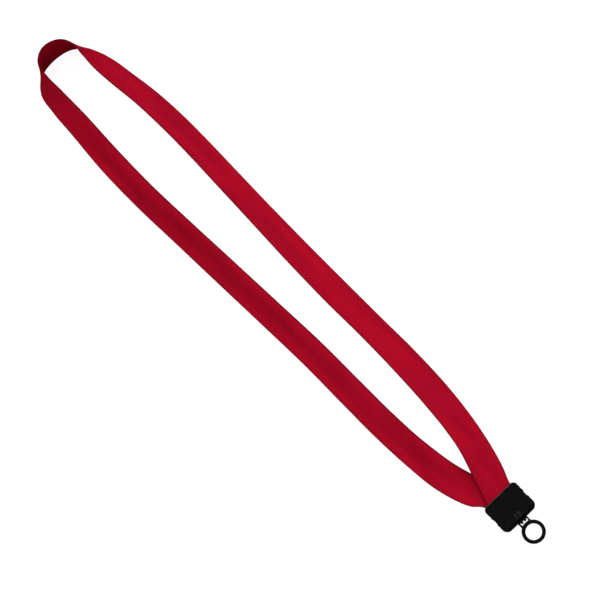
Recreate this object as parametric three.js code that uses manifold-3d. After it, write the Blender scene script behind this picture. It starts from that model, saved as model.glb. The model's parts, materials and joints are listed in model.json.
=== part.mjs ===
// Neck lanyard, lying flat: a loop of flat woven strap whose two ends are stacked and held in
// a moulded clamshell, with a moulded O-ring swinging on a bar at the clamshell's lower edge.
//
// Millimetres, +Z up. The origin is the middle of the clamshell's flat back face, which lies
// on the table plane z = 0. The strap leaves towards +Y and the ring hangs off the -Y edge.

import * as THREE from 'three';
import { mergeVertices } from 'three/addons/utils/BufferGeometryUtils.js';
import Module from 'manifold-3d';

const wasm = await Module();
wasm.setup();

// ---------------------------------------------------------------- driving dimensions

const GAP = 0.3; // clearance between neighbouring pieces
const OVERLAP = 0.1; // depth by which two shapes that are joined run into each other
const FAR = 20; // reaches past every face of the clamshell

const STRAP_WIDTH = 19.05; // 3/4 inch webbing
const STRAP_THICKNESS = 1.0;
const STRAP_STEPS = 4; // sections between two stations of the route
const FAN_LENGTH = 28; // run over which the weave skews from the clamp's line to the route's
const MOUTH_STATIONS = 1; // spans at each end of the route that lie inside the clamshell

const CLAMP_WIDTH = 25.4;
const CLAMP_LENGTH = 20.0;
const CLAMP_HEIGHT = 6.5;
const CLAMP_EDGE = 0.9; // rounding of the outer edges
const RING_CORNER = 4.0; // plan corner radius at the ring's side
const MOUTH_CORNER = 3.0; // plan corner radius at the strap's side
const WAIST_DEPTH = 0.95;
const WAIST_HALF_SPAN = 6.0;
const WAIST_STEPS = 16;
const GRIP_RIBS = 4;
const GRIP_PITCH = 1.9;
const GRIP_RADIUS = 0.55;
const GRIP_SUNK = 0.1; // how far the ribs' axes lie inside the waisted side

const PARTING_Z = CLAMP_HEIGHT / 2; // the two halves meet here
const POCKET_HALF_WIDTH = 11.0;
const POCKET_END_Y = -4.5;
const POCKET_FLOOR_Z = 1.35;
const POCKET_CEILING_Z = CLAMP_HEIGHT - POCKET_FLOOR_Z;

const TOOTH_HEIGHT = 0.5;
const TOOTH_HALF_BASE = 0.6;
const TOOTH_HALF_LENGTH = POCKET_HALF_WIDTH - 1;
const TOOTH_ROWS = [-2.6, 0.2, 7.0];

const PIN_RADIUS = 0.8;
const PIN_TIP = 0.4;
const STRAP_PIN = { x: 5.0, y: 3.5, top: 5.5, hole: 1.15, socket: 1.25, socketTop: 5.95 };
const CORNER_PEG = { x: 8.2, y: -7.2, top: 4.6, socket: 1.2, socketTop: 4.95 };

const BAR_RADIUS = 0.7;
const BAR_Y = -CLAMP_LENGTH / 2 - 0.65; // just outside the clamshell's lower edge
const BAR_Z = PARTING_Z;
const BAR_RELIEF = BAR_RADIUS + GAP;

const RING_OUTER = 7.2;
const RING_INNER = 4.95;
const RING_CORE = (RING_OUTER + RING_INNER) / 2;
const RING_HALF_SECTION = (RING_OUTER - RING_INNER) / 2;
const RING_SECTION_CORNER = 0.7;
const RING_CENTRE = 9.55; // from the bar's axis
const RING_SEGMENTS = 48;
const LINK_HALF_WIDTH = 3.65;
const LINK_ARM = 1.1;
const LINK_HALF_THICKNESS = 0.7;
const LINK_CROSSBAR = { near: 2.45, far: 3.75 };
const LINK_ARM_END = 4.6;

const FINGER_X = 1.25; // the two hinge fingers stand either side of the middle
const FINGER_WIDTH = 1.8;
const FINGER_RISE = 0.55;
const FINGER_START_Y = -4.6;
const FINGER_RAMP = 0.8; // slope at the end away from the ring
const FINGER_BEND_Y = -8.6; // where the rib starts to turn down over the lower edge
const FINGER_SHOULDER_Y = -9.9;
const FINGER_NECK = { y: BAR_Y + 0.5, z: BAR_Z + 2.3 };
const FINGER_ROOT = { y: -8.0, z: 4.2 }; // inside the front half's wall
const HOOK_OUTER = 1.65;
const HOOK_START = THREE.MathUtils.degToRad(124);
const HOOK_END = THREE.MathUtils.degToRad(300);
const HOOK_ROOT = THREE.MathUtils.degToRad(20);

// The ring turns down on its bar until its far side all but lies on the table.
const RING_REACH = RING_CENTRE + RING_CORE;
const TABLE_CLEARANCE = 0.02;
const RING_DROOP = Math.asin((BAR_Z - RING_HALF_SECTION - TABLE_CLEARANCE) / RING_REACH);

// Strap route from one clamped end, round the neck loop, to the other. Each station gives the
// centreline's x and y, the height of the strap's lower edge and the strap's lean in degrees:
// 0 lies flat with the outer face up, 90 stands on its outer edge.
const ROUTE = [
  [0.5, -4, 3.35, 0],
  [0.5, 10, 3.35, 0],
  [4.1, 21, 3.3, 7],
  [7, 30, 3.3, 16],
  [10.4, 42.5, 3.1, 24],
  [13.3, 60, 2.8, 23],
  [15.2, 80, 2.4, 19.5],
  [16.4, 112, 1.6, 20.5],
  [16.3, 145, 0.7, 25.5],
  [15.9, 172, 0.2, 23],
  [15.9, 208, 0, 26.5],
  [16.6, 252, 0, 33],
  [17.4, 290, 0.4, 35],
  [17.9, 316, 1.4, 36],
  [17.8, 338, 2, 36],
  [16.5, 364, 2.4, 38],
  [14, 386, 2, 41],
  [12.2, 403, 1.6, 47],
  [11, 414, 1.2, 60],
  [8.6, 425, 0.8, 78],
  [2.4, 433.1, 0.4, 92],
  [-9.5, 436.9, 0, 97],
  [-20, 432.2, 0.6, 78],
  [-25.5, 422, 0.9, 52],
  [-26.7, 407.5, 1.7, 41],
  [-27.2, 386, 2.1, 34],
  [-28.7, 350, 1.5, 27],
  [-28.6, 315, 0.8, 28],
  [-27, 280, 0.3, 28.5],
  [-25, 240, 0.1, 26],
  [-22.9, 198, 0.2, 24.5],
  [-21, 157, 0.5, 22],
  [-20.5, 120, 1.4, 20.5],
  [-20, 92, 2.6, 19.5],
  [-18.1, 63, 2.6, 17],
  [-15, 42, 1.2, 4],
  [-11.6, 30, 1.2, 0],
  [-8, 21, 1.7, 0],
  [-1.2, 10, 2.15, 0],
  [-1.2, -4, 2.15, 0],
];

const COLOURS = {
  webbing: { color: 0x9b0c22, roughness: 0.85, metalness: 0 },
  moulding: { color: 0x0d0d0e, roughness: 0.5, metalness: 0 },
};

// ---------------------------------------------------------------- solids

// Turns a closed three.js geometry, optionally moved by a matrix, into a solid.
function solid(geometry, matrix = new THREE.Matrix4()) {
  const bare = geometry.clone();
  bare.deleteAttribute('normal');
  bare.deleteAttribute('uv');
  bare.applyMatrix4(matrix);
  const merged = mergeVertices(bare, 1e-4);
  return new wasm.Manifold(new wasm.Mesh({
    numProp: 3,
    vertProperties: new Float32Array(merged.attributes.position.array),
    triVerts: new Uint32Array(merged.index.array),
  }));
}

// Turns a solid back into a three.js geometry.
function geometryOf(body) {
  const mesh = body.getMesh();
  const geometry = new THREE.BufferGeometry();
  geometry.setAttribute('position', new THREE.BufferAttribute(mesh.vertProperties, 3));
  geometry.setIndex(new THREE.BufferAttribute(mesh.triVerts, 1));
  geometry.computeVertexNormals();
  return geometry;
}

function unite(bodies) {
  return bodies.reduce((sum, body) => sum.add(body));
}

// A block between two opposite corners.
function block(low, high) {
  const size = high.map((value, i) => value - low[i]);
  const middle = high.map((value, i) => (value + low[i]) / 2);
  const matrix = new THREE.Matrix4().makeTranslation(...middle);
  return solid(new THREE.BoxGeometry(...size), matrix);
}

// A round rod along X, centred on x = 0.
function rodX(radius, length, y, z, sides = 20) {
  const matrix = new THREE.Matrix4().makeRotationZ(Math.PI / 2).setPosition(0, y, z);
  return solid(new THREE.CylinderGeometry(radius, radius, length, sides), matrix);
}

// A round post along Z between two heights, with its top narrowed to tipRadius.
function postZ(radius, x, y, low, high, tipRadius = radius, sides = 16) {
  const matrix = new THREE.Matrix4().makeRotationX(Math.PI / 2);
  matrix.setPosition(x, y, (low + high) / 2);
  return solid(new THREE.CylinderGeometry(tipRadius, radius, high - low, sides), matrix);
}

// A pin: a straight shank and a short tapered tip.
function pin(x, y, low, high) {
  const shoulder = high - PIN_TIP;
  const shank = postZ(PIN_RADIUS, x, y, low, shoulder);
  const tip = postZ(PIN_RADIUS, x, y, shoulder, high, PIN_RADIUS - PIN_TIP);
  return shank.add(tip);
}

// Extrudes a profile drawn in the Y-Z plane along X, centred on x.
function slabX(profile, width, x) {
  const geometry = new THREE.ExtrudeGeometry(profile, {
    depth: width,
    bevelEnabled: false,
    curveSegments: 12,
  });
  const basis = new THREE.Matrix4().makeBasis(
    new THREE.Vector3(0, 1, 0),
    new THREE.Vector3(0, 0, 1),
    new THREE.Vector3(1, 0, 0),
  );
  return solid(geometry, basis.setPosition(x - width / 2, 0, 0));
}

// ---------------------------------------------------------------- clamshell

// How far the clamshell's sides pull in at a place along it, up to WAIST_HALF_SPAN.
function waistDip(y) {
  return (WAIST_DEPTH / 2) * (1 + Math.cos((Math.PI * y) / WAIST_HALF_SPAN));
}

// Plan outline of both halves: rounded corners and slightly waisted long sides.
function clampOutline() {
  const halfWidth = CLAMP_WIDTH / 2;
  const halfLength = CLAMP_LENGTH / 2;
  const outline = new THREE.Shape();
  const waist = (side, upwards) => {
    for (let i = 0; i <= WAIST_STEPS; i++) {
      const t = upwards ? i / WAIST_STEPS : 1 - i / WAIST_STEPS;
      const y = (2 * t - 1) * WAIST_HALF_SPAN;
      outline.lineTo(side * (halfWidth - waistDip(y)), y);
    }
  };
  outline.moveTo(-halfWidth + RING_CORNER, -halfLength);
  outline.lineTo(halfWidth - RING_CORNER, -halfLength);
  outline.absarc(halfWidth - RING_CORNER, -halfLength + RING_CORNER, RING_CORNER, -Math.PI / 2, 0);
  waist(1, true);
  outline.absarc(halfWidth - MOUTH_CORNER, halfLength - MOUTH_CORNER, MOUTH_CORNER, 0, Math.PI / 2);
  outline.absarc(
    -halfWidth + MOUTH_CORNER, halfLength - MOUTH_CORNER, MOUTH_CORNER, Math.PI / 2, Math.PI,
  );
  waist(-1, false);
  outline.absarc(
    -halfWidth + RING_CORNER, -halfLength + RING_CORNER, RING_CORNER, Math.PI, 1.5 * Math.PI,
  );
  return outline;
}

// The closed clamshell's outer form, with the grip ribs down both waisted sides.
function clampBody() {
  const form = new THREE.ExtrudeGeometry(clampOutline(), {
    depth: CLAMP_HEIGHT - 2 * CLAMP_EDGE,
    bevelThickness: CLAMP_EDGE,
    bevelSize: CLAMP_EDGE,
    bevelOffset: -CLAMP_EDGE,
    bevelSegments: 3,
    curveSegments: 6,
  });
  const ribs = [];
  for (const side of [-1, 1]) {
    for (let i = 0; i < GRIP_RIBS; i++) {
      const y = (i - (GRIP_RIBS - 1) / 2) * GRIP_PITCH;
      const x = side * (CLAMP_WIDTH / 2 - GRIP_SUNK - waistDip(y));
      ribs.push(postZ(GRIP_RADIUS, x, y, CLAMP_EDGE, CLAMP_HEIGHT - CLAMP_EDGE, GRIP_RADIUS, 10));
    }
  }
  return unite([solid(form, new THREE.Matrix4().makeTranslation(0, 0, CLAMP_EDGE)), ...ribs]);
}

// Rows of gripping teeth across the pocket, growing from baseZ towards the strap.
function teeth(baseZ, direction) {
  return TOOTH_ROWS.map((y) => {
    const profile = new THREE.Shape();
    profile.moveTo(y - TOOTH_HALF_BASE, baseZ - direction * OVERLAP);
    profile.lineTo(y + TOOTH_HALF_BASE, baseZ - direction * OVERLAP);
    profile.lineTo(y, baseZ + direction * TOOTH_HEIGHT);
    profile.closePath();
    return slabX(profile, 2 * TOOTH_HALF_LENGTH, 0);
  });
}

// Room for the strap's ends: closed towards the ring, open at the mouth.
function pocket() {
  return block(
    [-POCKET_HALF_WIDTH, POCKET_END_Y, POCKET_FLOOR_Z],
    [POCKET_HALF_WIDTH, FAR, POCKET_CEILING_Z],
  );
}

// Room for the ring's bar and arms at the lower edge.
function barRelief() {
  const halfWidth = LINK_HALF_WIDTH + GAP;
  const channel = rodX(BAR_RELIEF, 2 * halfWidth, BAR_Y, BAR_Z);
  const slot = block(
    [-halfWidth, -FAR, -FAR],
    [halfWidth, BAR_Y + BAR_RELIEF, FAR],
  );
  return channel.add(slot);
}

// Side view of one hinge finger: a rib on the front face that runs down over the lower edge
// and hooks round the ring's bar.
function fingerProfile() {
  const crest = CLAMP_HEIGHT + FINGER_RISE;
  const profile = new THREE.Shape();
  profile.moveTo(FINGER_START_Y, CLAMP_HEIGHT - OVERLAP);
  profile.lineTo(FINGER_START_Y, CLAMP_HEIGHT);
  profile.lineTo(FINGER_START_Y - FINGER_RAMP, crest);
  profile.lineTo(FINGER_BEND_Y, crest);
  profile.quadraticCurveTo(FINGER_SHOULDER_Y, crest, FINGER_NECK.y, FINGER_NECK.z);
  profile.absarc(BAR_Y, BAR_Z, HOOK_OUTER, HOOK_START, HOOK_END, false);
  profile.absarc(BAR_Y, BAR_Z, BAR_RELIEF, HOOK_END, HOOK_ROOT, true);
  profile.lineTo(FINGER_ROOT.y, FINGER_ROOT.z);
  profile.closePath();
  return profile;
}

function frontCover() {
  const half = clampBody().intersect(block([-FAR, -FAR, PARTING_Z + GAP / 2], [FAR, FAR, FAR]));
  const hollow = half.subtract(pocket()).subtract(barRelief());
  const fingers = [-FINGER_X, FINGER_X].map((x) => slabX(fingerProfile(), FINGER_WIDTH, x));
  const sockets = [-1, 1].flatMap((side) => [
    postZ(STRAP_PIN.socket, side * STRAP_PIN.x, STRAP_PIN.y, PARTING_Z, STRAP_PIN.socketTop),
    postZ(CORNER_PEG.socket, side * CORNER_PEG.x, CORNER_PEG.y, PARTING_Z, CORNER_PEG.socketTop),
  ]);
  return unite([hollow, ...teeth(POCKET_CEILING_Z, -1), ...fingers]).subtract(unite(sockets));
}

function backCover() {
  const half = clampBody().intersect(block([-FAR, -FAR, -FAR], [FAR, FAR, PARTING_Z - GAP / 2]));
  const hookRoom = rodX(HOOK_OUTER + GAP, 2 * (FINGER_X + FINGER_WIDTH / 2 + GAP), BAR_Y, BAR_Z);
  const hollow = half.subtract(pocket()).subtract(barRelief()).subtract(hookRoom);
  const pins = [-1, 1].flatMap((side) => [
    pin(side * STRAP_PIN.x, STRAP_PIN.y, POCKET_FLOOR_Z - OVERLAP, STRAP_PIN.top),
    pin(side * CORNER_PEG.x, CORNER_PEG.y, POCKET_FLOOR_Z, CORNER_PEG.top),
  ]);
  return unite([hollow, ...teeth(POCKET_FLOOR_Z, 1), ...pins]);
}

// ---------------------------------------------------------------- O-ring

// The ring's closed section: a square with well rounded corners.
function ringSection() {
  const flat = RING_HALF_SECTION - RING_SECTION_CORNER;
  const section = new THREE.Shape();
  section.absarc(RING_CORE + flat, flat, RING_SECTION_CORNER, 0, Math.PI / 2);
  section.absarc(RING_CORE - flat, flat, RING_SECTION_CORNER, Math.PI / 2, Math.PI);
  section.absarc(RING_CORE - flat, -flat, RING_SECTION_CORNER, Math.PI, 1.5 * Math.PI);
  section.absarc(RING_CORE + flat, -flat, RING_SECTION_CORNER, 1.5 * Math.PI, 2 * Math.PI);
  section.closePath();
  const points = section.getPoints(3);
  const apart = points.filter((point, i) => i === 0 || point.distanceTo(points[i - 1]) > 1e-6);
  if (apart[0].distanceTo(apart[apart.length - 1]) > 1e-6) {
    apart.push(apart[0].clone());
  }
  return apart;
}

// The O-ring in its own frame: the bar lies along X through the origin, the ring towards -Y.
function oRing() {
  const upright = new THREE.Matrix4().makeRotationX(Math.PI / 2).setPosition(0, -RING_CENTRE, 0);
  const ring = solid(new THREE.LatheGeometry(ringSection(), RING_SEGMENTS), upright);
  const bar = rodX(BAR_RADIUS, 2 * LINK_HALF_WIDTH, 0, 0);
  const arms = [-1, 1].map((side) => {
    const inner = side * (LINK_HALF_WIDTH - LINK_ARM);
    const outer = side * LINK_HALF_WIDTH;
    return block(
      [Math.min(inner, outer), -LINK_ARM_END, -LINK_HALF_THICKNESS],
      [Math.max(inner, outer), 0, LINK_HALF_THICKNESS],
    );
  });
  const crossbar = block(
    [-LINK_HALF_WIDTH, -LINK_CROSSBAR.far, -LINK_HALF_THICKNESS],
    [LINK_HALF_WIDTH, -LINK_CROSSBAR.near, LINK_HALF_THICKNESS],
  );
  return unite([ring, bar, ...arms, crossbar]);
}

// ---------------------------------------------------------------- strap

// Smooth values between the route's stations: a cubic through each pair of neighbours, with
// slopes weighted by the distances between stations.
function routeSamples() {
  const distance = (a, b) => Math.hypot(b[0] - a[0], b[1] - a[1]);
  const spans = ROUTE.slice(1).map((station, i) => distance(ROUTE[i], station));
  const slopes = ROUTE.map((station, i) => station.map((value, k) => {
    const before = i > 0 ? (value - ROUTE[i - 1][k]) / spans[i - 1] : null;
    const after = i < spans.length ? (ROUTE[i + 1][k] - value) / spans[i] : null;
    if (before === null || after === null) {
      return before ?? after;
    }
    return (before * spans[i] + after * spans[i - 1]) / (spans[i] + spans[i - 1]);
  }));
  const samples = [];
  spans.forEach((span, i) => {
    for (let j = 0; j < STRAP_STEPS; j++) {
      const t = j / STRAP_STEPS;
      samples.push(ROUTE[i].map((start, k) => {
        const rise = ROUTE[i + 1][k] - start;
        const bend = (slopes[i][k] * span - rise) * (1 - t) - (slopes[i + 1][k] * span - rise) * t;
        return start + rise * t + t * (1 - t) * bend;
      }));
    }
  });
  samples.push(ROUTE[ROUTE.length - 1]);
  return samples;
}

// For every sample, its distance from the nearer end's mouth, negative inside the clamshell,
// and the heading square to that mouth: +Y as the first strand leaves, -Y as the last returns.
function mouthBearings(samples) {
  const run = [0];
  for (let i = 1; i < samples.length; i++) {
    const [x0, y0] = samples[i - 1];
    const [x1, y1] = samples[i];
    run.push(run[i - 1] + Math.hypot(x1 - x0, y1 - y0));
  }
  const start = run[MOUTH_STATIONS * STRAP_STEPS];
  const end = run[run.length - 1 - MOUTH_STATIONS * STRAP_STEPS];
  return run.map((value) => ({
    distance: Math.min(value - start, end - value),
    square: value - start < end - value ? Math.PI / 2 : -Math.PI / 2,
  }));
}

// The strap as a closed band: one rectangular section at every sample of the route.
function strapBand() {
  const samples = routeSamples();
  const bearings = mouthBearings(samples);
  const corners = [];
  samples.forEach(([x, y, lowerEdge, leanDegrees], i) => {
    const next = samples[Math.min(i + 1, samples.length - 1)];
    const previous = samples[Math.max(i - 1, 0)];
    const course = Math.atan2(next[1] - previous[1], next[0] - previous[0]);
    const { distance, square } = bearings[i];
    const blend = THREE.MathUtils.smoothstep(distance, 0, FAN_LENGTH);
    const facing = distance < FAN_LENGTH ? square + (course - square) * blend : course;
    const lean = THREE.MathUtils.degToRad(leanDegrees);
    const inward = new THREE.Vector3(-Math.sin(facing), Math.cos(facing), 0);
    const up = new THREE.Vector3(0, 0, 1);
    const across = inward.clone().multiplyScalar(Math.cos(lean)).addScaledVector(up, Math.sin(lean));
    const outer = up.clone().multiplyScalar(Math.cos(lean)).addScaledVector(inward, -Math.sin(lean));
    const halfWidth = STRAP_WIDTH / 2;
    const halfThickness = STRAP_THICKNESS / 2;
    const height = halfWidth * Math.sin(lean) + halfThickness * Math.abs(Math.cos(lean));
    const centre = new THREE.Vector3(x, y, lowerEdge + height);
    for (const [edge, face] of [[-1, -1], [1, -1], [1, 1], [-1, 1]]) {
      const corner = centre.clone().addScaledVector(across, edge * halfWidth);
      corners.push(...corner.addScaledVector(outer, face * halfThickness).toArray());
    }
  });
  const index = [];
  const last = (samples.length - 1) * 4;
  for (let start = 0; start < last; start += 4) {
    for (let k = 0; k < 4; k++) {
      const a = start + k;
      const b = start + ((k + 1) % 4);
      index.push(a, b, b + 4, a, b + 4, a + 4);
    }
  }
  index.push(0, 2, 1, 0, 3, 2, last, last + 1, last + 2, last, last + 2, last + 3);
  const band = new THREE.BufferGeometry();
  band.setAttribute('position', new THREE.Float32BufferAttribute(corners, 3));
  band.setIndex(index);
  return band;
}

// The strap with the two holes that the clamshell's pins pass through at each end.
function neckStrap() {
  const holes = [-1, 1].map((side) => (
    postZ(STRAP_PIN.hole, side * STRAP_PIN.x, STRAP_PIN.y, 0, CLAMP_HEIGHT)
  ));
  return solid(strapBand()).subtract(unite(holes));
}

// ---------------------------------------------------------------- assembly

function piece(name, body, finish) {
  const mesh = new THREE.Mesh(geometryOf(body), new THREE.MeshStandardMaterial(finish));
  mesh.name = name;
  return mesh;
}

const lanyard = new THREE.Group();
lanyard.add(piece('neck_strap', neckStrap(), COLOURS.webbing));
lanyard.add(piece('back_cover', backCover(), COLOURS.moulding));
lanyard.add(piece('front_cover', frontCover(), COLOURS.moulding));

const ringPivot = new THREE.Group();
ringPivot.position.set(0, BAR_Y, BAR_Z);
ringPivot.rotation.x = RING_DROOP;
ringPivot.add(piece('o_ring', oRing(), COLOURS.moulding));
lanyard.add(ringPivot);

export default lanyard;
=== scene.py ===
"""Neck lanyard: a loop of woven strap gripped in a moulded clamshell, with a swinging O-ring.

Everything is in metres, +Z up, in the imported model's frame: the origin is the middle of the
clamshell's flat back face on the table, the strap leaves towards +Y and the ring lies at -Y.
Moulded pieces are described by their signed distance and turned into meshes, the strap is a
ribbon swept along its route, and Geometry Nodes make the ribs, teeth and woven edges.
"""

from __future__ import annotations

import functools
import itertools
import json
import logging
import math
import operator
from dataclasses import dataclass, field
from enum import Enum
from typing import Callable, Sequence, Union

import bpy
import numpy as np
from mathutils import Matrix, Vector

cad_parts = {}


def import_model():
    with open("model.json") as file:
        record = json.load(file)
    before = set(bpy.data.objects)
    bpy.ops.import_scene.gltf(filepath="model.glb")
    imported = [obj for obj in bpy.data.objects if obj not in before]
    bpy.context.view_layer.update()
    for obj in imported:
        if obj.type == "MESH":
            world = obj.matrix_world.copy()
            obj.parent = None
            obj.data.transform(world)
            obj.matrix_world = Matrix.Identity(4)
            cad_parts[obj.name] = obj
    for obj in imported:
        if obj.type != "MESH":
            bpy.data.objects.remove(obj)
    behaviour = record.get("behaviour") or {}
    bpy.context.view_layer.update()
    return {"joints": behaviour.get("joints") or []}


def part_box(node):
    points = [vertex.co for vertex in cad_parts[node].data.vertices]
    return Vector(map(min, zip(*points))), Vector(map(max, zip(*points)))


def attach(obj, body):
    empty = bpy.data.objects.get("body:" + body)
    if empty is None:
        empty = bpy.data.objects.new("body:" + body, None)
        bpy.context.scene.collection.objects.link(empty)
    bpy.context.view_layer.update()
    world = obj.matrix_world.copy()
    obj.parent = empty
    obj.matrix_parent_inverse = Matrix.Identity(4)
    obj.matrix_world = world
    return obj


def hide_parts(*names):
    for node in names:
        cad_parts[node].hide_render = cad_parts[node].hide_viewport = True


log = logging.getLogger("lanyard")

WEAVE_UV = "weave"
ALONG = "along"
ACROSS = "across"

Colour = tuple[float, float, float]
Point = tuple[float, float, float]
Plan = tuple[float, float]


class Body(Enum):
    """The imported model's bodies, by the name that a piece rides on."""

    STRAP_AND_BACK = "strap_and_back"
    FRONT_HALF = "front_half"
    RING = "ring"


class Slot(Enum):
    """The record's material slots."""

    WEBBING = "webbing"
    MOULDING = "moulding"
    RING_MOULDING = "ring_moulding"


class Direction(Enum):
    """The way a half's teeth point."""

    UP = 1.0
    DOWN = -1.0


# ---------------------------------------------------------------- node trees


class Value:
    """A number held by a node socket, so that sums on it can be written as expressions."""

    def __init__(self, graph: NodeGraph, socket: bpy.types.NodeSocket) -> None:
        """Wraps one output socket of a graph."""
        self.graph = graph
        self.socket = socket

    def _math(self, operation: str, *terms: Term) -> Value:
        """Adds the Math node for an operation on some terms.

        Args:
            operation: the Math node's operation.
            terms: its inputs in order.

        Returns:
            The node's result.
        """
        made = self.graph.node("ShaderNodeMath", {"operation": operation}, dict(enumerate(terms)))
        return Value(self.graph, made.outputs[0])

    def __add__(self, other: Term) -> Value:
        """Adds a term."""
        return self._math("ADD", self, other)

    def __radd__(self, other: Term) -> Value:
        """Adds this to a term."""
        return self._math("ADD", other, self)

    def __sub__(self, other: Term) -> Value:
        """Takes a term away."""
        return self._math("SUBTRACT", self, other)

    def __rsub__(self, other: Term) -> Value:
        """Takes this away from a term."""
        return self._math("SUBTRACT", other, self)

    def __mul__(self, other: Term) -> Value:
        """Multiplies by a term."""
        return self._math("MULTIPLY", self, other)

    def __rmul__(self, other: Term) -> Value:
        """Multiplies a term by this."""
        return self._math("MULTIPLY", other, self)

    def __truediv__(self, other: Term) -> Value:
        """Divides by a term."""
        return self._math("DIVIDE", self, other)

    def __rtruediv__(self, other: Term) -> Value:
        """Divides a term by this."""
        return self._math("DIVIDE", other, self)

    def __mod__(self, other: Term) -> Value:
        """The remainder after dividing by a term."""
        return self._math("FLOORED_MODULO", self, other)

    def __pow__(self, other: Term) -> Value:
        """Raises this to a power."""
        return self._math("POWER", self, other)

    def whole(self) -> Value:
        """The whole number at or below this."""
        return self._math("FLOOR", self)

    def fraction(self) -> Value:
        """What is left above the whole number."""
        return self._math("FRACT", self)

    def sine(self) -> Value:
        """The sine of this, in radians."""
        return self._math("SINE", self)

    def cosine(self) -> Value:
        """The cosine of this, in radians."""
        return self._math("COSINE", self)

    def sign(self) -> Value:
        """-1, 0 or 1, by the side of 0 that this lies on."""
        return self._math("SIGN", self)

    def lesser(self, other: Term) -> Value:
        """The smaller of this and a term."""
        return self._math("MINIMUM", self, other)

    def rise(self, low: float, high: float) -> Value:
        """Climbs smoothly from 0 at low to 1 at high.

        Args:
            low: the value that gives 0.
            high: the value that gives 1.

        Returns:
            The smooth step.
        """
        made = self.graph.node(
            "ShaderNodeMapRange",
            {"interpolation_type": "SMOOTHSTEP"},
            {"Value": self, "From Min": low, "From Max": high},
        )
        return Value(self.graph, made.outputs[0])


Term = Union[Value, float]


class NodeGraph:
    """Adds nodes to one node tree."""

    def __init__(self, tree: bpy.types.NodeTree) -> None:
        """Takes the tree to add to."""
        self.tree = tree

    def node(self, kind: str, settings: dict | None = None, inputs: dict | None = None) -> bpy.types.Node:
        """Adds one node.

        Args:
            kind: the node's type.
            settings: its own properties, set before its inputs.
            inputs: values or links by socket identifier, name or index.

        Returns:
            The node.
        """
        made = self.tree.nodes.new(kind)
        for name, value in (settings or {}).items():
            setattr(made, name, value)
        for key, value in (inputs or {}).items():
            self.feed(self.socket(made, key), value)
        return made

    @staticmethod
    def socket(node: bpy.types.Node, key: str | int) -> bpy.types.NodeSocket:
        """Finds a node's input by index, identifier or name.

        Args:
            node: the node to look in.
            key: the socket's index, identifier or name.

        Returns:
            The input socket.
        """
        if isinstance(key, int):
            return node.inputs[key]
        by_identifier = [s for s in node.inputs if s.identifier == key]
        return by_identifier[0] if by_identifier else node.inputs[key]

    def feed(self, socket: bpy.types.NodeSocket, value: object) -> None:
        """Links a socket, or sets its value.

        Args:
            socket: the input to feed.
            value: a Value, another node's output socket, or a plain value.
        """
        if isinstance(value, Value):
            self.tree.links.new(value.socket, socket)
        elif isinstance(value, bpy.types.NodeSocket):
            self.tree.links.new(value, socket)
        else:
            socket.default_value = value

    def value(self, socket: bpy.types.NodeSocket) -> Value:
        """Wraps an output socket, for use in expressions."""
        return Value(self, socket)

    def part(self, vector: bpy.types.NodeSocket, axis: int) -> Value:
        """One of a vector's three numbers, by its axis from 0 to 2."""
        return self.value(self.node("ShaderNodeSeparateXYZ", inputs={0: vector}).outputs[axis])


class MaterialGraph(NodeGraph):
    """A new material round one Principled shader."""

    def __init__(self, name: str) -> None:
        """Starts a material.

        Args:
            name: its name.
        """
        self.material = bpy.data.materials.new(name)
        self.material.use_nodes = True
        super().__init__(self.material.node_tree)
        self.shader = self.tree.nodes["Principled BSDF"]

    def mix(self, amount: Term, first: object, second: object) -> bpy.types.NodeSocket:
        """Mixes two colours.

        Args:
            amount: 0 for the first and 1 for the second.
            first: a colour or a colour socket.
            second: a colour or a colour socket.

        Returns:
            The mixed colour's socket.
        """
        made = self.node(
            "ShaderNodeMix",
            {"data_type": "RGBA"},
            {"Factor_Float": amount, "A_Color": opaque(first), "B_Color": opaque(second)},
        )
        return next(s for s in made.outputs if s.identifier == "Result_Color")

    def place(self) -> bpy.types.NodeSocket:
        """The point on the piece, in metres from its origin."""
        return self.node("ShaderNodeTexCoord").outputs["Object"]

    def noise(self, size: float, detail: float = 2.0, stretch: Point = (1.0, 1.0, 1.0)) -> Value:
        """Noise with features of about one size.

        Args:
            size: the features' size in metres.
            detail: how many finer layers it has.
            stretch: how much closer together the features are along each axis.

        Returns:
            The noise, about 0.5 on average.
        """
        mapped = self.node("ShaderNodeMapping", inputs={"Vector": self.place(), "Scale": stretch})
        made = self.node(
            "ShaderNodeTexNoise",
            inputs={"Vector": mapped.outputs[0], "Scale": 1.0 / size, "Detail": detail},
        )
        return self.value(made.outputs[0])

    def relief(self, height: Value, depth: float) -> None:
        """Bumps the surface.

        Args:
            height: the relief, from 0 to 1.
            depth: how deep it is, in metres.
        """
        bump = self.node("ShaderNodeBump", inputs={"Distance": depth, "Height": height})
        self.feed(self.shader.inputs["Normal"], bump.outputs[0])

    def set(self, **values: object) -> None:
        """Sets or links the shader's own sockets, with _ for the spaces in their names."""
        for name, value in values.items():
            self.feed(self.shader.inputs[name.replace("_", " ")], opaque(value))


def opaque(value: object) -> object:
    """Gives a plain colour its alpha, and leaves anything else as it is."""
    return (*value, 1.0) if isinstance(value, tuple) and len(value) == 3 else value


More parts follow.
